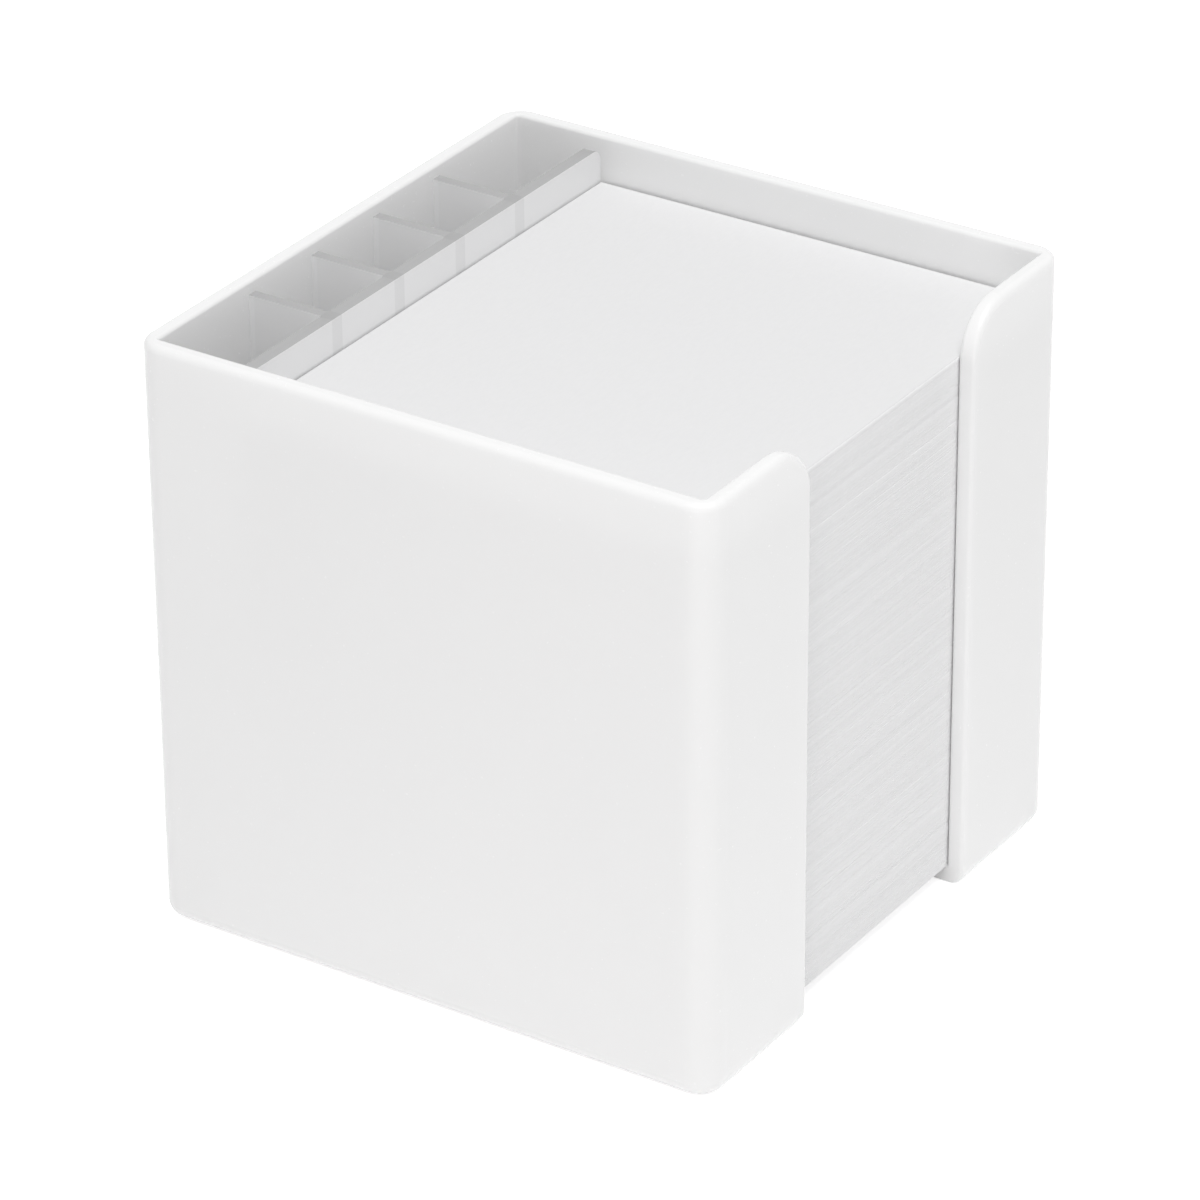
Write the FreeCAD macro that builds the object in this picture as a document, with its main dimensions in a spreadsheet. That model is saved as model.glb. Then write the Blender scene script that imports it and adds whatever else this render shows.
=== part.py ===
import FreeCAD, Part
import math
import os
import re

import Sketcher
from FreeCAD import Vector

# Memo pad holder: an open white box for a stack of loose note sheets.
#
# The front wall (-Y) is only two flanges with a wide slot between them, so that a thumb reaches the
# sheets, and the slot runs on into the floor as a notch. A clear comb-shaped insert stands behind
# the sheets and makes five pen compartments along the back wall (+Y).
#
# Part frame: millimetres, +Z up, origin at the centre of the underside, front towards -Y.

DIMENSIONS = [
    ("outer_width", 102.0, "shell across X"),
    ("outer_depth", 102.0, "shell across Y"),
    ("outer_height", 100.0, "shell, underside to rim"),
    ("wall", 2.8, "walls of the shell"),
    ("floor_thickness", 3.0, "floor of the shell"),
    ("corner_radius", 4.5, "outer vertical corners"),
    ("inner_corner_radius", 0.5, "inner vertical corners"),
    ("bottom_radius", 2.5, "outer edge of the underside"),
    ("inside_radius", 0.25, "where the inner walls meet the floor"),
    ("rim_radius", 1.2, "outer edge of the rim"),
    ("edge_radius", 0.6, "inner edge of the rim, and both edges of the slot and the notch"),
    ("slot_width", 47.0, "gap between the two front flanges"),
    ("slot_corner_radius", 8.5, "top corner of each flange"),
    ("notch_depth", 20.0, "thumb notch, from the front face"),
    ("notch_corner_radius", 8.0, "rear corners of the thumb notch"),
    ("insert_clearance", 0.3, "insert to the shell's inner walls"),
    ("insert_top_gap", 2.0, "top of the insert below the rim"),
    ("insert_wall", 2.2, "long wall of the insert"),
    ("divider_thickness", 1.8, "cross dividers of the insert"),
    ("divider_pitch", 16.5, "one cross divider to the next"),
    ("divider_count", 4, "cross dividers"),
    ("compartment_depth", 13.9, "long wall of the insert to the shell's back wall"),
    ("insert_end_radius", 2.0, "top corners at the ends of the long wall"),
    ("insert_foot_radius", 0.6, "bottom corners of the insert, clear of the shell's inside radius"),
    ("insert_root_radius", 0.4, "where a cross divider meets the long wall"),
    ("note_width", 95.4, "one sheet across X"),
    ("note_depth", 79.7, "one sheet across Y"),
    ("note_gap", 0.3, "sheets to the long wall of the insert"),
    ("stack_height", 89.1, "stack without its top sheet"),
    ("sheet_thickness", 0.1, "one sheet of paper"),
    ("overshoot", 1.0, "how far a cutting profile stands outside the solid"),
]

# Places along Y, as formulas of the dimensions.
SHELL_BACK = "outer_depth / 2 - wall"
INSERT_WALL_BACK = f"{SHELL_BACK} - compartment_depth"
INSERT_WALL_FRONT = f"{INSERT_WALL_BACK} - insert_wall"
NOTE_BACK = f"{INSERT_WALL_FRONT} - note_gap"

TOLERANCE = 1e-4
START, END, CENTRE = 1, 2, 3
ORIGIN = (-1, 1)
Y_AXIS = -2

doc = FreeCAD.newDocument("MemoPadHolder")
sheet = doc.addObject("Spreadsheet::Sheet", "Dimensions")
for row, (alias, value, meaning) in enumerate(DIMENSIONS, start=1):
    sheet.set(f"A{row}", alias)
    sheet.set(f"B{row}", str(value))
    sheet.setAlias(f"B{row}", alias)
    sheet.set(f"C{row}", meaning)
doc.recompute()


def on_sheet(formula):
    """The formula as an expression, with each name read from the sheet."""
    return re.sub(r"[a-z][a-z_]+", lambda name: f"Dimensions.{name.group()}", formula)


def value_of(formula):
    """The formula's present value in millimetres."""
    return float(sheet.evalExpression(on_sheet(formula)))


# ---------------------------------------------------------------- sketches


def new_sketch(body, name, role, offset=None):
    """A sketch on one of the body's own origin planes, moved along its normal by a formula."""
    plane = next(item for item in body.Origin.OriginFeatures if item.Role == role)
    sketch = body.newObject("Sketcher::SketchObject", name)
    sketch.AttachmentSupport = (plane, [""])
    sketch.MapMode = "FlatFace"
    if offset:
        sketch.setExpression("AttachmentOffset.Base.z", on_sheet(offset))
    return sketch


def line(start, end):
    return Part.LineSegment(Vector(*start, 0), Vector(*end, 0))


def arc(centre, radius, start_degrees, end_degrees):
    """An arc that runs counter-clockwise between two angles."""
    circle = Part.Circle(Vector(*centre, 0), Vector(0, 0, 1), radius)
    return Part.ArcOfCircle(circle, math.radians(start_degrees), math.radians(end_degrees))


def relate(sketch, kind, *geometry):
    sketch.addConstraint(Sketcher.Constraint(kind, *geometry))


def dimension(sketch, name, formula, kind, *geometry):
    """A named size of the sketch, driven by a formula of the sheet's dimensions."""
    index = sketch.addConstraint(Sketcher.Constraint(kind, *geometry, value_of(formula)))
    sketch.renameConstraint(index, name)
    sketch.setExpression(f"Constraints.{name}", on_sheet(formula))


def close_loop(sketch, corners):
    """Joins each piece of the outline to the next: 'Tangent' where it flows, 'Coincident' at a corner."""
    for index, kind in enumerate(corners):
        relate(sketch, kind, index, END, (index + 1) % len(corners), START)


def draw_rectangle(sketch, left, right, low, high):
    x_left, x_right = value_of(left), value_of(right)
    y_low, y_high = value_of(low), value_of(high)
    sketch.addGeometry([
        line((x_left, y_low), (x_right, y_low)),
        line((x_right, y_low), (x_right, y_high)),
        line((x_right, y_high), (x_left, y_high)),
        line((x_left, y_high), (x_left, y_low)),
    ])
    close_loop(sketch, ["Coincident"] * 4)
    for index in (0, 2):
        relate(sketch, "Horizontal", index)
        relate(sketch, "Vertical", index + 1)
    dimension(sketch, "left", left, "DistanceX", 0, START)
    dimension(sketch, "right", right, "DistanceX", 0, END)
    dimension(sketch, "low", low, "DistanceY", 0, START)
    dimension(sketch, "high", high, "DistanceY", 2, START)


def draw_rounded_rectangle(sketch, width, depth, radius):
    """A rectangle about the origin with four equal round corners."""
    rounding = value_of(radius)
    x_out, y_out = value_of(width) / 2, value_of(depth) / 2
    x_in, y_in = x_out - rounding, y_out - rounding
    sketch.addGeometry([
        line((-x_in, -y_out), (x_in, -y_out)),
        arc((x_in, -y_in), rounding, 270, 360),
        line((x_out, -y_in), (x_out, y_in)),
        arc((x_in, y_in), rounding, 0, 90),
        line((x_in, y_out), (-x_in, y_out)),
        arc((-x_in, y_in), rounding, 90, 180),
        line((-x_out, y_in), (-x_out, -y_in)),
        arc((-x_in, -y_in), rounding, 180, 270),
    ])
    close_loop(sketch, ["Tangent"] * 8)
    for index in (0, 4):
        relate(sketch, "Horizontal", index)
        relate(sketch, "Vertical", index + 2)
    for index in (3, 5, 7):
        relate(sketch, "Equal", 1, index)
    relate(sketch, "Symmetric", 7, CENTRE, 3, CENTRE, *ORIGIN)
    dimension(sketch, "radius", radius, "Radius", 1)
    dimension(sketch, "width", width, "DistanceX", 6, START, 2, START)
    dimension(sketch, "depth", depth, "DistanceY", 0, START, 4, START)


def draw_front_slot(sketch):
    """Outline of the slot seen from the front: straight sides that flare out round the flange corners."""
    side = value_of("slot_width") / 2
    flare = value_of("slot_corner_radius")
    rim = value_of("outer_height")
    over = value_of("overshoot")
    sketch.addGeometry([
        line((-side, -over), (side, -over)),
        line((side, -over), (side, rim - flare)),
        arc((side + flare, rim - flare), flare, 90, 180),
        line((side + flare, rim), (side + flare, rim + over)),
        line((side + flare, rim + over), (-side - flare, rim + over)),
        line((-side - flare, rim + over), (-side - flare, rim)),
        arc((-side - flare, rim - flare), flare, 0, 90),
        line((-side, rim - flare), (-side, -over)),
    ])
    relate(sketch, "Coincident", 0, END, 1, START)
    relate(sketch, "Tangent", 1, END, 2, END)
    relate(sketch, "Coincident", 2, START, 3, START)
    relate(sketch, "Coincident", 3, END, 4, START)
    relate(sketch, "Coincident", 4, END, 5, START)
    relate(sketch, "Coincident", 5, END, 6, END)
    relate(sketch, "Tangent", 6, START, 7, START)
    relate(sketch, "Coincident", 7, END, 0, START)
    relate(sketch, "Horizontal", 4)
    for index in (1, 3, 5, 7):
        relate(sketch, "Vertical", index)
    relate(sketch, "Equal", 2, 6)
    relate(sketch, "Symmetric", 0, START, 0, END, Y_AXIS)
    dimension(sketch, "slot", "slot_width", "DistanceX", 0, START, 0, END)
    dimension(sketch, "flare", "slot_corner_radius", "Radius", 2)
    dimension(sketch, "left_flare", "-slot_width / 2 - slot_corner_radius", "DistanceX", 5, END)
    dimension(sketch, "right_flare", "slot_width / 2 + slot_corner_radius", "DistanceX", 3, START)
    dimension(sketch, "rim", "outer_height", "DistanceY", 3, START)
    dimension(sketch, "other_rim", "outer_height", "DistanceY", 5, END)
    dimension(sketch, "top", "outer_height + overshoot", "DistanceY", 3, END)
    dimension(sketch, "foot", "-overshoot", "DistanceY", 0, START)


def draw_notch(sketch):
    """Outline of the thumb notch in plan: open to the front, with two round rear corners."""
    side = value_of("slot_width") / 2
    rounding = value_of("notch_corner_radius")
    front = value_of("-outer_depth / 2 - overshoot")
    back = value_of("-outer_depth / 2 + notch_depth")
    sketch.addGeometry([
        line((-side, front), (side, front)),
        line((side, front), (side, back - rounding)),
        arc((side - rounding, back - rounding), rounding, 0, 90),
        line((side - rounding, back), (rounding - side, back)),
        arc((rounding - side, back - rounding), rounding, 90, 180),
        line((-side, back - rounding), (-side, front)),
    ])
    close_loop(sketch, ["Coincident", "Tangent", "Tangent", "Tangent", "Tangent", "Coincident"])
    relate(sketch, "Horizontal", 3)
    for index in (1, 5):
        relate(sketch, "Vertical", index)
    relate(sketch, "Equal", 2, 4)
    relate(sketch, "Symmetric", 0, START, 0, END, Y_AXIS)
    dimension(sketch, "width", "slot_width", "DistanceX", 0, START, 0, END)
    dimension(sketch, "radius", "notch_corner_radius", "Radius", 2)
    dimension(sketch, "front", "-outer_depth / 2 - overshoot", "DistanceY", 0, START)
    dimension(sketch, "back", "-outer_depth / 2 + notch_depth", "DistanceY", 3, START)


# ---------------------------------------------------------------- features


def new_body(label):
    """An empty body, whose label names its file."""
    body = doc.addObject("PartDesign::Body", label)
    body.Label = label
    return body


def pad(body, name, sketch, length):
    feature = body.newObject("PartDesign::Pad", name)
    feature.Profile = sketch
    feature.setExpression("Length", on_sheet(length))
    doc.recompute()
    return feature


def pocket(body, name, sketch, length, reverse=False):
    """A pocket against the sketch's normal, or along it when reversed; it has to take material away."""
    before = body.Shape.Volume
    feature = body.newObject("PartDesign::Pocket", name)
    feature.Profile = sketch
    feature.Reversed = reverse
    feature.setExpression("Length", on_sheet(length))
    doc.recompute()
    if feature.Shape.Volume > before - TOLERANCE:
        raise RuntimeError(f"{name} cuts nothing")
    return feature


def fillet(body, name, radius, choose):
    """Rounds the edges of the body's tip that choose() picks out of its shape."""
    base = body.Tip
    chosen = choose(base.Shape)
    names = [f"Edge{number}" for number, edge in enumerate(base.Shape.Edges, start=1)
             if any(edge.isSame(other) for other in chosen)]
    feature = body.newObject("PartDesign::Fillet", name)
    feature.Base = (base, names)
    feature.setExpression("Radius", on_sheet(radius))
    doc.recompute()
    return feature


# ---------------------------------------------------------------- picking edges


def lies_at(edge_or_face, axis, place):
    """True where every vertex of the edge or face has this coordinate."""
    return all(abs(getattr(vertex, axis) - place) < TOLERANCE for vertex in edge_or_face.Vertexes)


def edges_at(axis, place):
    return lambda shape: [edge for edge in shape.Edges if lies_at(edge, axis, place)]


def is_wall_section(face):
    """True for the faces across the wall's thickness: the rim, the slot's sides and the notch's edge."""
    if isinstance(face.Surface, Part.Cylinder):
        sections = (value_of("slot_corner_radius"), value_of("notch_corner_radius"))
        return any(abs(face.Surface.Radius - radius) < TOLERANCE for radius in sections)
    side = value_of("slot_width / 2")
    return (lies_at(face, "Z", value_of("outer_height"))
            or lies_at(face, "X", side)
            or lies_at(face, "X", -side)
            or lies_at(face, "Y", value_of("-outer_depth / 2 + notch_depth")))


def wall_section_outline(shape):
    """Edges that bound the wall sections, without the edges that two sections share."""
    edges = [edge for face in shape.Faces if is_wall_section(face) for edge in face.Edges]
    return [edge for edge in edges if sum(edge.isSame(other) for other in edges) == 1]


def round_wall_edges(body, label):
    """The body with its wall sections rounded: well rounded outside the rim, and crisp elsewhere.

    The outer edge runs from one radius to the other round the top corner of each flange. A PartDesign
    fillet has a single radius, so this is a Part fillet, which lists the radius at an edge's end before
    the one at its start.
    """
    rim, half_width, half_depth, wall = (
        value_of(formula) for formula in ("outer_height", "outer_width / 2", "outer_depth / 2", "wall"))
    chosen = wall_section_outline(body.Shape)

    def radius_at(point):
        inset = min(half_width - abs(point.x), half_depth - abs(point.y))
        outside_rim = point.z > rim - TOLERANCE and inset < wall / 2
        return value_of("rim_radius" if outside_rim else "edge_radius")

    rounded = []
    for number, edge in enumerate(body.Shape.Edges, start=1):
        if any(edge.isSame(other) for other in chosen):
            start = edge.valueAt(edge.FirstParameter)
            end = edge.valueAt(edge.LastParameter)
            rounded.append((number, radius_at(end), radius_at(start)))
    feature = doc.addObject("Part::Fillet", label)
    feature.Base = body
    feature.Edges = rounded
    doc.recompute()
    return feature


# ---------------------------------------------------------------- pieces


def build_shell():
    """The white moulding: a box with an open top, a slot in the front wall and a notch in the floor."""
    body = new_body("shell_with_sharp_edges")

    outside = new_sketch(body, "ShellOutside", "XY_Plane")
    draw_rounded_rectangle(outside, "outer_width", "outer_depth", "corner_radius")
    pad(body, "ShellBlock", outside, "outer_height")
    fillet(body, "UndersideEdge", "bottom_radius", edges_at("Z", 0))

    inside = new_sketch(body, "ShellInside", "XY_Plane", offset="outer_height")
    draw_rounded_rectangle(inside, "outer_width - 2 * wall", "outer_depth - 2 * wall", "inner_corner_radius")
    pocket(body, "ShellHollow", inside, "outer_height - floor_thickness")
    fillet(body, "InsideFloorEdge", "inside_radius", edges_at("Z", value_of("floor_thickness")))

    slot = new_sketch(body, "SlotOutline", "XZ_Plane", offset="outer_depth / 2 + overshoot")
    draw_front_slot(slot)
    pocket(body, "FrontSlot", slot, "wall + 2 * overshoot")

    notch = new_sketch(body, "NotchOutline", "XY_Plane", offset="-overshoot")
    draw_notch(notch)
    pocket(body, "ThumbNotch", notch, "floor_thickness + 2 * overshoot", reverse=True)

    return round_wall_edges(body, "holder_shell")


def build_insert():
    """The clear moulding: one long wall with cross dividers behind it, open at the back and below."""
    body = new_body("divider_insert")
    floor = value_of("floor_thickness")
    top = value_of("outer_height - insert_top_gap")
    end = value_of("outer_width / 2 - wall - insert_clearance")
    back = value_of(f"{SHELL_BACK} - insert_clearance")
    wall_back = value_of(INSERT_WALL_BACK)
    height = "outer_height - insert_top_gap - floor_thickness"
    half_length = "outer_width / 2 - wall - insert_clearance"

    plan = new_sketch(body, "LongWallPlan", "XY_Plane", offset="floor_thickness")
    draw_rectangle(plan, f"-({half_length})", half_length, INSERT_WALL_FRONT, INSERT_WALL_BACK)
    pad(body, "LongWall", plan, height)

    first = "-divider_pitch * (divider_count - 1) / 2"
    plan = new_sketch(body, "CrossDividerPlan", "XY_Plane", offset="floor_thickness")
    draw_rectangle(plan, f"{first} - divider_thickness / 2", f"{first} + divider_thickness / 2",
                   f"{INSERT_WALL_BACK} - insert_wall / 2", f"{SHELL_BACK} - insert_clearance")
    divider = pad(body, "CrossDivider", plan, height)

    row_of_dividers = body.newObject("PartDesign::LinearPattern", "CrossDividers")
    row_of_dividers.Originals = [divider]
    row_of_dividers.Direction = (plan, ["H_Axis"])
    row_of_dividers.setExpression("Length", on_sheet("divider_pitch * (divider_count - 1)"))
    row_of_dividers.setExpression("Occurrences", on_sheet("divider_count"))
    body.Tip = row_of_dividers
    doc.recompute()

    def roots(shape):
        at_back = [edge for edge in shape.Edges if lies_at(edge, "Y", wall_back)]
        return [edge for edge in at_back if abs(edge.Vertexes[0].Z - edge.Vertexes[-1].Z) > TOLERANCE
                and abs(edge.Vertexes[0].X) < end - TOLERANCE]

    def end_corners(shape):
        return [edge for edge in edges_at("Z", top)(shape)
                if lies_at(edge, "X", end) or lies_at(edge, "X", -end)]

    def feet(shape):
        return [edge for edge in edges_at("Z", floor)(shape)
                if lies_at(edge, "X", end) or lies_at(edge, "X", -end) or lies_at(edge, "Y", back)]

    fillet(body, "DividerRoots", "insert_root_radius", roots)
    fillet(body, "EndCorners", "insert_end_radius", end_corners)
    fillet(body, "FootCorners", "insert_foot_radius", feet)
    return body


def build_notes(label, bottom, thickness):
    """A stack of sheets, or a single one, lying in the well in front of the insert."""
    body = new_body(label)
    plan = new_sketch(body, f"{label}_plan", "XY_Plane", offset=bottom)
    draw_rectangle(plan, "-note_width / 2", "note_width / 2", f"{NOTE_BACK} - note_depth", NOTE_BACK)
    pad(body, f"{label}_pad", plan, thickness)
    return body


pieces = [
    build_shell(),
    build_insert(),
    build_notes("note_stack", "floor_thickness", "stack_height"),
    build_notes("top_note", "floor_thickness + stack_height", "sheet_thickness"),
]
doc.recompute()

# ---------------------------------------------------------------- checks and export

for item in doc.Objects:
    if "Invalid" in item.State or "Error" in item.State:
        raise RuntimeError(f"{item.Name} failed: {item.State}")

os.makedirs("parts", exist_ok=True)
for body in pieces:
    shape = body.Shape
    if shape.isNull() or not shape.isValid() or len(shape.Solids) != 1:
        raise RuntimeError(f"{body.Label} is not one valid solid")
    shape.exportStep(f"parts/{body.Label}.step")
    box = shape.BoundBox
    print(f"{body.Label}: {shape.Volume / 1000:.2f} cm3, {len(shape.Faces)} faces, "
          f"X {box.XMin:.2f} to {box.XMax:.2f}, Y {box.YMin:.2f} to {box.YMax:.2f}, "
          f"Z {box.ZMin:.2f} to {box.ZMax:.2f}")
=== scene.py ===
import bpy
import numpy as np
from mathutils import Matrix, Vector


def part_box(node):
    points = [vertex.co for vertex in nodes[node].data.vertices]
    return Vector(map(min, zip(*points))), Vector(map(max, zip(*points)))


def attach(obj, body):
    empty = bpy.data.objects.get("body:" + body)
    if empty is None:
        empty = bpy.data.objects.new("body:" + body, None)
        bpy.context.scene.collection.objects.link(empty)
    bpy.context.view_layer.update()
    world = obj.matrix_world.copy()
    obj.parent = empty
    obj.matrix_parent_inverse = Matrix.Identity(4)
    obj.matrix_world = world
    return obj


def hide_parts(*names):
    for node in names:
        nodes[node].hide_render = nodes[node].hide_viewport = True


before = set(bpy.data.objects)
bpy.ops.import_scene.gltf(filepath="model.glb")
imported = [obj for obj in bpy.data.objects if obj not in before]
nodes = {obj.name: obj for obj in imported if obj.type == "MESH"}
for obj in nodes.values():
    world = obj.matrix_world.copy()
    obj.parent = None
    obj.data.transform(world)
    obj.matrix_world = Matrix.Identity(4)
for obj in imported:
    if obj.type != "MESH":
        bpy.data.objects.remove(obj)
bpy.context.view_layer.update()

# Memo pad holder: a white box of loose sheets, with a clear comb of pen compartments along its back wall.
# Lengths are metres, in the frame of the part: +Z up, the slotted front towards -Y.

MM = 0.001

SHEET_THICKNESS = 0.1 * MM
SHEET_STRAY = 0.10 * MM         # how far the edge of one sheet may lie from the outline of the block
DRIFT_SHARE = 0.45              # of the stray that runs on over many sheets, the rest being each sheet's own
SHEET_LEAN = 0.2 * MM           # how far the sheets have slid forward, against the flanges
SEED = 20

DIVIDER_PITCH = 16.5 * MM       # of the four cross dividers of the comb
DIVIDER_BAND = 1.2 * MM         # half the width of a divider with its roots
DIVIDER_REAR = 47.9 * MM        # their rear ends, along Y
LONG_WALL_BACK = 34.4 * MM      # the rear face of the comb's long wall, with the roots
SOFT_EDGE = 0.2 * MM            # over which a band of another tone fades out

SHELL_COLOUR = (0.92, 0.92, 0.92, 1)
COMB_COLOUR = (0.90, 0.90, 0.905, 1)
NOTE_COLOUR = (0.82, 0.82, 0.825, 1)
# the cut sides are the same paper as the notes, painted lighter to stand in for light
CUT_EDGE_COLOUR_PAINTED_LIGHTER = (0.95, 0.95, 0.955, 1)
FLOOR_COLOUR = (0.95, 0.95, 0.95, 1)

POLYSTYRENE_IOR = 1.5
SHELL_GLOW = 0.5                # how much light wanders inside the white plastic
SHELL_GLOW_DEPTH = 2.8 * MM     # and how far

COMB_PLATE_EDGE_PAINTED_SHADE = -0.54         # painted shade: a change of tone on the faces that look up,
COMB_BEHIND_WALL_PAINTED_SHADE = -0.08        # painted shade where a divider stands behind the long wall,
COMB_REAR_END_PAINTED_LIGHT = 0.05            # painted light at the rear ends of the dividers
DIVIDER_FACE_PAINTED_LIGHT = 0.11             # and painted light on their flat sides
COMB_SEEN = 0.94                # how much of the comb the eye meets, the rest being seen through
DIVIDER_SEEN = 0.65             # the same for the thinner cross dividers
COMB_CAST = 0.01                # how much of the light the comb stops

CLOUD_SIZE = 30 * MM            # of the patterns in the plastic
RIPPLE_SIZE = 9 * MM
GRAIN_SIZE = 0.6 * MM
FIBRE_SIZE = 0.5 * MM           # and of those in the paper
FELT_SIZE = 3 * MM
REAM_SIZE = 2.5 * MM
PLASTIC_RELIEF = 0.001 * MM
FROSTED_RELIEF = 0.002 * MM
PAPER_RELIEF = 0.01 * MM

# ---------------------------------------------------------------- shader nodes


def add_node(tree, kind, sockets=None, **settings):
    """A node of this kind: its settings, then each input by name or number, set to a value or joined."""
    made = tree.nodes.new(kind)
    for name, value in settings.items():
        setattr(made, name, value)
    for key, value in (sockets or {}).items():
        if isinstance(value, bpy.types.NodeSocket):
            tree.links.new(value, made.inputs[key])
        else:
            made.inputs[key].default_value = value
    return made


def calculate(tree, operation, *terms):
    """The output of one Math node."""
    return add_node(tree, "ShaderNodeMath", dict(enumerate(terms)), operation=operation).outputs[0]


def noise(tree, where, size, detail=2.0, stretch=(1, 1, 1)):
    """Noise from 0 to 1 with blotches about this size in metres, longer along an axis with a low stretch."""
    scaled = add_node(tree, "ShaderNodeMapping", {"Vector": where, "Scale": stretch})
    return add_node(tree, "ShaderNodeTexNoise", {
        "Vector": scaled.outputs[0], "Scale": 1 / size, "Detail": detail}).outputs["Fac"]


def spread(tree, value, low, high):
    """Noise centred on 0.5 carried to the range from low to high, which may be sockets."""
    return add_node(tree, "ShaderNodeMapRange", {
        "Value": value, "From Min": 0.25, "From Max": 0.75, "To Min": low, "To Max": high}).outputs[0]


def ramp(tree, value, start, end):
    """0 at the start, 1 at the end and beyond, and smooth between; the end may lie below the start."""
    return add_node(tree, "ShaderNodeMapRange", {
        "Value": value, "From Min": start, "From Max": end}, interpolation_type="SMOOTHSTEP").outputs[0]


def shade(tree, colour, factor):
    """The colour times a factor."""
    return add_node(tree, "ShaderNodeVectorMath", {0: colour, 3: factor}, operation="SCALE").outputs[0]


def parts_of(tree, vector):
    """The X, Y and Z of a vector, as sockets."""
    return add_node(tree, "ShaderNodeSeparateXYZ", {0: vector}).outputs


def distance(tree, value, point=0.0):
    """How far a value lies from a point, on either side of it."""
    return calculate(tree, "ABSOLUTE", calculate(tree, "SUBTRACT", value, point))


def seen_directly(tree):
    """1 for camera, glossy and transmission rays, otherwise 0."""
    path = add_node(tree, "ShaderNodeLightPath").outputs
    either = calculate(tree, "MAXIMUM", path["Is Camera Ray"], path["Is Glossy Ray"])
    return calculate(tree, "MAXIMUM", either, path["Is Transmission Ray"])


def new_group(name, inputs, outputs):
    """An empty node group with these sockets, each a name and a kind, and its two end nodes."""
    group = bpy.data.node_groups.new(name, "ShaderNodeTree")
    for in_out, sockets in (("INPUT", inputs), ("OUTPUT", outputs)):
        for socket, kind in sockets:
            group.interface.new_socket(socket, in_out=in_out, socket_type=f"NodeSocket{kind}")
    return group, group.nodes.new("NodeGroupInput"), group.nodes.new("NodeGroupOutput")


def moulded_skin_group():
    """The skin of a moulding: faint clouds in the colour, a fine grain in the gloss, and a soft ripple."""
    group, given, result = new_group(
        "moulded_skin",
        [("Colour", "Color"), ("Cloudiness", "Float"), ("Gloss Low", "Float"), ("Gloss High", "Float")],
        [("Colour", "Color"), ("Roughness", "Float"), ("Height", "Float")])
    where = add_node(group, "ShaderNodeTexCoord").outputs["Object"]
    clouds = noise(group, where, CLOUD_SIZE)
    grain = noise(group, where, GRAIN_SIZE, detail=4.0)
    ripple = noise(group, where, RIPPLE_SIZE, detail=1.0)
    darker = calculate(group, "SUBTRACT", 1.0, given.outputs["Cloudiness"])
    tint = shade(group, given.outputs["Colour"], spread(group, clouds, darker, 1.0))
    rough = spread(group, grain, given.outputs["Gloss Low"], given.outputs["Gloss High"])
    height = calculate(group, "MULTIPLY_ADD", grain, 0.08, ripple)
    group.links.new(tint, result.inputs["Colour"])
    group.links.new(rough, result.inputs["Roughness"])
    group.links.new(height, result.inputs["Height"])
    return group


def paper_fibre_group():
    """Uncoated paper: short fibres that tint it, and a felt-like unevenness of its surface."""
    group, given, result = new_group(
        "paper_fibre",
        [("Colour", "Color"), ("Tint", "Float")],
        [("Colour", "Color"), ("Roughness", "Float"), ("Height", "Float")])
    where = add_node(group, "ShaderNodeTexCoord").outputs["Object"]
    fibres = noise(group, where, FIBRE_SIZE, detail=5.0, stretch=(0.35, 1, 1))
    felt = noise(group, where, FELT_SIZE, detail=3.0)
    darker = calculate(group, "SUBTRACT", 1.0, given.outputs["Tint"])
    tint = shade(group, given.outputs["Colour"], spread(group, fibres, darker, 1.0))
    height = calculate(group, "MULTIPLY_ADD", felt, 0.5, fibres)
    group.links.new(tint, result.inputs["Colour"])
    group.links.new(spread(group, felt, 0.8, 0.95), result.inputs["Roughness"])
    group.links.new(height, result.inputs["Height"])
    return group


def new_material(name):
    """A material with an empty tree that ends in a Principled BSDF."""
    material = bpy.data.materials.new(name)
    material.use_nodes = True
    tree = material.node_tree
    tree.nodes.clear()
    surface = tree.nodes.new("ShaderNodeBsdfPrincipled")
    end = tree.nodes.new("ShaderNodeOutputMaterial")
    tree.links.new(surface.outputs[0], end.inputs["Surface"])
    return material, tree, surface


def dress(tree, surface, group, inputs, relief):
    """Places a group in a material and joins its colour, roughness and relief, in metres, to the surface."""
    skin = add_node(tree, "ShaderNodeGroup", node_tree=group)
    for name, value in inputs.items():
        skin.inputs[name].default_value = value
    bump = add_node(tree, "ShaderNodeBump", {
        "Height": skin.outputs["Height"], "Strength": 1.0, "Distance": relief})
    tree.links.new(skin.outputs["Colour"], surface.inputs["Base Color"])
    tree.links.new(skin.outputs["Roughness"], surface.inputs["Roughness"])
    tree.links.new(bump.outputs[0], surface.inputs["Normal"])
    return skin


def white_moulding(skin_group):
    """Polished opaque white polystyrene."""
    material, tree, surface = new_material("white_moulding")
    dress(tree, surface, skin_group, {
        "Colour": SHELL_COLOUR, "Cloudiness": 0.006, "Gloss Low": 0.265, "Gloss High": 0.275}, PLASTIC_RELIEF)
    surface.inputs["IOR"].default_value = POLYSTYRENE_IOR
    surface.inputs["Subsurface Weight"].default_value = SHELL_GLOW
    surface.inputs["Subsurface Radius"].default_value = (1, 1, 1)
    surface.inputs["Subsurface Scale"].default_value = SHELL_GLOW_DEPTH
    return material


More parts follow.
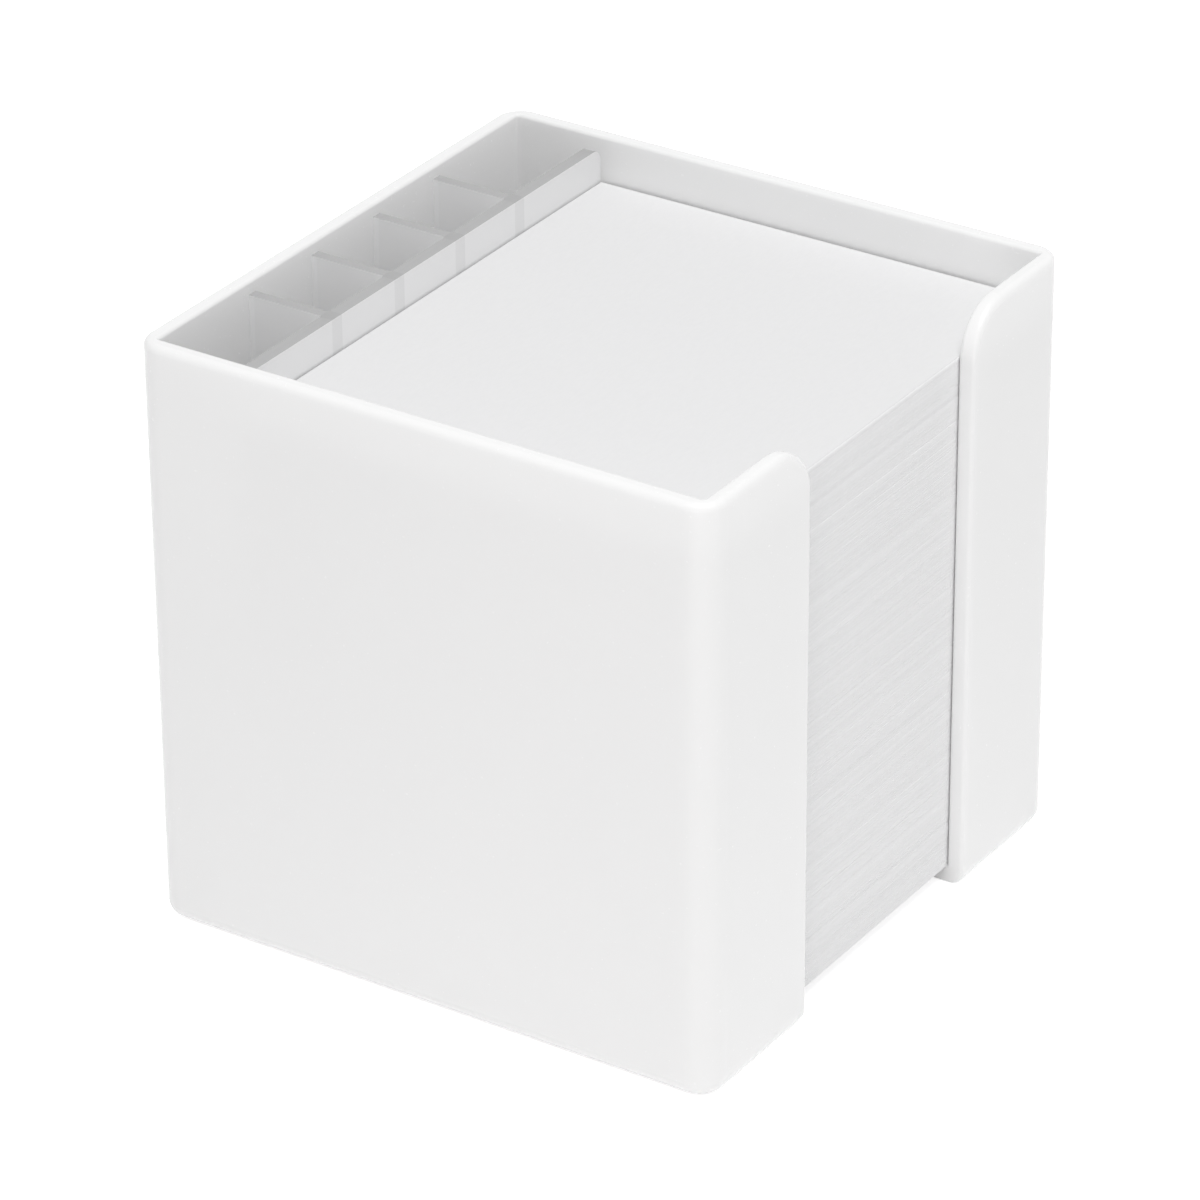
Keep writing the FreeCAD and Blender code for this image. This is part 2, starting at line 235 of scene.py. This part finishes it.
def frosted_comb(skin_group):
    """Frosted clear polystyrene.

    Its colour has painted shade where one looks down into a plate: on the faces that look up, and on the long
    wall where a cross divider stands behind it. Painted light makes the flat sides and the rear ends of the
    dividers lighter.
    """
    material, tree, surface = new_material("frosted_comb")
    skin = dress(tree, surface, skin_group, {
        "Colour": COMB_COLOUR, "Cloudiness": 0.02, "Gloss Low": 0.29, "Gloss High": 0.31}, FROSTED_RELIEF)
    where = add_node(tree, "ShaderNodeTexCoord").outputs
    place = parts_of(tree, where["Object"])
    facing = parts_of(tree, where["Normal"])

    # the dividers stand in two pairs, each pair one pitch from the middle and half a pitch to either side
    from_pair = distance(tree, distance(tree, place["X"]), DIVIDER_PITCH)
    from_divider = distance(tree, from_pair, DIVIDER_PITCH / 2)
    # painted shade on the long wall where a cross divider stands behind it
    behind_wall_shade_mask = calculate(tree, "MULTIPLY",
                            ramp(tree, from_divider, DIVIDER_BAND + SOFT_EDGE, DIVIDER_BAND),
                            ramp(tree, place["Y"], LONG_WALL_BACK + SOFT_EDGE, LONG_WALL_BACK))
    # painted shade on the faces that look up, where one looks down into a plate
    plate_edge_shade_mask = ramp(tree, facing["Z"], 0.4, 0.9)
    # painted light on the flat sides of the dividers; the same mask also sets how much of them is seen
    flat_side = ramp(tree, distance(tree, facing["X"]), 0.4, 0.9)
    # painted light at the rear ends of the dividers
    rear_end_light_mask = ramp(tree, place["Y"], DIVIDER_REAR - 1.2 * MM, DIVIDER_REAR - 0.8 * MM)

    # the painted shade and light, gathered into one factor on the colour
    tone = 1.0
    for mask, change in (
            (behind_wall_shade_mask, COMB_BEHIND_WALL_PAINTED_SHADE), (flat_side, DIVIDER_FACE_PAINTED_LIGHT), (rear_end_light_mask, COMB_REAR_END_PAINTED_LIGHT)):
        tone = calculate(tree, "MULTIPLY_ADD", mask, change, tone)
    # the painted shade of the plate edges darkens the whole colour
    painted_edge_shade = calculate(tree, "MULTIPLY_ADD", plate_edge_shade_mask, COMB_PLATE_EDGE_PAINTED_SHADE, 1.0)
    tone = calculate(tree, "MULTIPLY", tone, painted_edge_shade)
    tree.links.new(shade(tree, skin.outputs["Colour"], tone), surface.inputs["Base Color"])
    surface.inputs["IOR"].default_value = POLYSTYRENE_IOR

    seen = calculate(tree, "MULTIPLY_ADD", flat_side, DIVIDER_SEEN - COMB_SEEN, COMB_SEEN)
    path = add_node(tree, "ShaderNodeLightPath").outputs
    lighting = calculate(tree, "MAXIMUM", path["Is Shadow Ray"], path["Is Diffuse Ray"])
    alpha = add_node(tree, "ShaderNodeMapRange", {"Value": lighting, "To Min": seen, "To Max": COMB_CAST})
    tree.links.new(alpha.outputs[0], surface.inputs["Alpha"])
    return material


def note_paper(fibre_group):
    """The face of one note sheet."""
    material, tree, surface = new_material("note_paper")
    dress(tree, surface, fibre_group, {"Colour": NOTE_COLOUR, "Tint": 0.02}, PAPER_RELIEF)
    surface.inputs["Specular IOR Level"].default_value = 0.25
    return material


def cut_paper_edges(fibre_group):
    """The cut sides of the block: the paper again, painted lighter than the face of a note to stand in for
    light, and each sheet a little lighter or darker than the next.
    """
    material, tree, surface = new_material("cut_paper_edges")
    fibre = dress(tree, surface, fibre_group, {"Colour": CUT_EDGE_COLOUR_PAINTED_LIGHTER, "Tint": 0.03}, PAPER_RELIEF)
    height = parts_of(tree, add_node(tree, "ShaderNodeTexCoord").outputs["Object"])["Z"]
    sheet = calculate(tree, "FLOOR", calculate(tree, "DIVIDE", height, 2 * SHEET_THICKNESS))
    one_sheet = add_node(tree, "ShaderNodeTexWhiteNoise", {"W": sheet}, noise_dimensions="1D")
    ream = add_node(tree, "ShaderNodeTexNoise", {
        "W": calculate(tree, "DIVIDE", height, REAM_SIZE),
        "Scale": 1.0, "Detail": 3.0}, noise_dimensions="1D")
    tone = add_node(tree, "ShaderNodeMapRange", {
        "Value": calculate(tree, "ADD", one_sheet.outputs["Value"], ream.outputs["Fac"]),
        "From Min": 0.3, "From Max": 1.7, "To Min": 0.96, "To Max": 1.0}).outputs[0]
    tree.links.new(shade(tree, fibre.outputs["Colour"], tone), surface.inputs["Base Color"])
    surface.inputs["Specular IOR Level"].default_value = 0.2
    return material


def studio_floor():
    """A pale matt floor that the camera, gloss and glass see as white, apart from the holder's shadow."""
    material, tree, surface = new_material("studio_floor")
    surface.inputs["Base Color"].default_value = FLOOR_COLOUR
    surface.inputs["Roughness"].default_value = 1.0
    surface.inputs["Specular IOR Level"].default_value = 0.0
    surface.inputs["Emission Color"].default_value = (1, 1, 1, 1)
    seen = seen_directly(tree)
    tree.links.new(calculate(tree, "MULTIPLY", seen, FLOOR_LIFT), surface.inputs["Emission Strength"])
    material.cycles.emission_sampling = "NONE"      # the lift is no lamp
    return material


# ---------------------------------------------------------------- pieces


def loose_sheet_block():
    """The block of sheets, each a hair out of line with the next.

    Sheet k fills the heights from k t to (k + 1) t above the foot of the block, t being its thickness.
    Its outline is the rectangle of the block with each of its four sides drawn in by a stray of its own.
    The stray of a side is a slow drift over many sheets plus a share for the one sheet, and the front
    side then lies further out by the lean, a constant. The surface is a grid: the four corners of an
    outline, by two rings for each sheet, at its bottom and at its top.
    """
    low, high = (np.array(corner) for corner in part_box("note_stack"))
    count = int(round((high[2] - low[2]) / SHEET_THICKNESS))
    random = np.random.default_rng(SEED)

    def stray():
        drift = np.cumsum(random.normal(0, 1, count))
        drift -= np.linspace(drift[0], drift[-1], count)
        drift = (drift - drift.min()) / np.ptp(drift)
        return SHEET_STRAY * (DRIFT_SHARE * drift + (1 - DRIFT_SHARE) * random.random(count) ** 2)

    left, right = low[0] + stray(), high[0] - stray()
    front, back = low[1] - SHEET_LEAN + stray(), high[1] - stray()
    heights = np.linspace(low[2], high[2], count + 1)
    corner_x = np.stack([left, right, right, left], axis=1)
    corner_y = np.stack([front, front, back, back], axis=1)
    rings = np.empty((count, 2, 4, 3))
    rings[..., 0] = corner_x[:, None]
    rings[..., 1] = corner_y[:, None]
    rings[:, 0, :, 2] = heights[:-1, None]
    rings[:, 1, :, 2] = heights[1:, None]
    points = rings.reshape(-1, 3)

    ring = np.arange(2 * count - 1)[:, None] * 4
    corner = np.arange(4)
    following = (corner + 1) % 4
    sides = np.stack([ring + corner, ring + following, ring + 4 + following, ring + 4 + corner], axis=-1)
    top = len(points) - 4
    faces = sides.reshape(-1, 4).tolist() + [[3, 2, 1, 0], [top, top + 1, top + 2, top + 3]]
    mesh = bpy.data.meshes.new("loose_sheet_block")
    mesh.from_pydata(points, [], faces)
    mesh.update()
    block = bpy.data.objects.new("loose_sheet_block", mesh)
    bpy.context.collection.objects.link(block)
    return block


def paint(piece, material):
    """The whole piece in one material, which takes every slot that it has."""
    slots = piece.data.materials
    if len(slots) == 0:
        slots.append(material)
    for index in range(len(slots)):
        slots[index] = material


# ---------------------------------------------------------------- studio

FLOOR_LIFT = 0.6            # added to the floor where it is seen, so that it is white
FLOOR_SIZE = 12.0
SKY_STRENGTH = 0.49         # as it lights the holder

MIDDLE = (0, 0, 0.05)       # of the holder, which both lamps face
OVERHEAD_PLACE = (-0.22, -0.28, 1.2)
OVERHEAD_SIZE = 0.7
OVERHEAD_WATTS = 8.0
FILL_PLACE = (-0.36, -0.16, 0.04)
FILL_SIZE = 0.1
FILL_WATTS = 0.12
WHITE = (1, 1, 1)           # the colours of the lamps
WARM = (1.0, 0.96, 0.955)

CAMERA_PLACE = (-0.71425, -0.46833, 0.51248)
CAMERA_AZIMUTH = -56.675    # degrees, 0 looking along +Y
CAMERA_ELEVATION = 28.566
CAMERA_ROLL = -0.421
CAMERA_LENS = 188.22        # mm
SENSOR_WIDTH = 36           # mm


def lay_floor():
    """A level square under the holder."""
    half = FLOOR_SIZE / 2
    mesh = bpy.data.meshes.new("studio_floor")
    corners = [(-half, -half, 0), (half, -half, 0), (half, half, 0), (-half, half, 0)]
    mesh.from_pydata(corners, [], [(0, 1, 2, 3)])
    floor = bpy.data.objects.new("studio_floor", mesh)
    bpy.context.collection.objects.link(floor)
    floor.data.materials.append(studio_floor())


def hang_softbox(name, place, size, watts, colour):
    """A square area light that faces the middle of the holder, and that no camera sees."""
    light = bpy.data.lights.new(name, "AREA")
    light.shape = "SQUARE"
    light.size = size
    light.energy = watts
    light.color = colour
    lamp = bpy.data.objects.new(name, light)
    lamp.location = place
    lamp.visible_camera = False
    aim = Vector(MIDDLE) - Vector(place)
    lamp.rotation_euler = aim.to_track_quat("-Z", "Y").to_euler()
    bpy.context.collection.objects.link(lamp)


def light_world(strength):
    """An even sky of this strength that the camera, gloss and glass see as white."""
    world = bpy.data.worlds.new("studio")
    world.use_nodes = True
    tree = world.node_tree
    tree.nodes.clear()
    level = add_node(tree, "ShaderNodeMapRange", {
        "Value": seen_directly(tree), "To Min": strength, "To Max": 1.0}).outputs[0]
    sky = add_node(tree, "ShaderNodeBackground", {"Color": (*WHITE, 1), "Strength": level})
    end = tree.nodes.new("ShaderNodeOutputWorld")
    tree.links.new(sky.outputs[0], end.inputs["Surface"])
    world.cycles.sampling_method = "NONE"           # an even sky needs no map
    bpy.context.scene.world = world


def set_camera():
    """The camera's axes from its azimuth, elevation and roll."""
    azimuth, elevation, roll = (np.radians(a) for a in (CAMERA_AZIMUTH, CAMERA_ELEVATION, CAMERA_ROLL))
    away = np.cos(elevation)
    back = Vector((np.sin(azimuth) * away, -np.cos(azimuth) * away, np.sin(elevation)))
    level = Vector((0, 0, 1)).cross(back).normalized()
    upright = back.cross(level)
    right = np.cos(roll) * level + np.sin(roll) * upright
    up = np.cos(roll) * upright - np.sin(roll) * level
    lens = bpy.data.cameras.new("studio_camera")
    lens.sensor_width = SENSOR_WIDTH
    lens.lens = CAMERA_LENS
    camera = bpy.data.objects.new("studio_camera", lens)
    axes = Matrix((right, up, back)).transposed().to_4x4()
    camera.matrix_world = Matrix.Translation(CAMERA_PLACE) @ axes
    bpy.context.collection.objects.link(camera)
    bpy.context.scene.camera = camera


# ---------------------------------------------------------------- the scene

skin = moulded_skin_group()
fibre = paper_fibre_group()

paint(nodes["holder_shell"], white_moulding(skin))
paint(nodes["divider_insert"], frosted_comb(skin))
paint(nodes["top_note"], note_paper(fibre))

block = loose_sheet_block()
paint(block, cut_paper_edges(fibre))
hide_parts("note_stack")
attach(block, "stack")

lay_floor()
light_world(SKY_STRENGTH)
hang_softbox("overhead_softbox", OVERHEAD_PLACE, OVERHEAD_SIZE, OVERHEAD_WATTS, WHITE)
hang_softbox("low_fill", FILL_PLACE, FILL_SIZE, FILL_WATTS, WARM)
set_camera()
bpy.context.scene.view_settings.view_transform = "Standard"
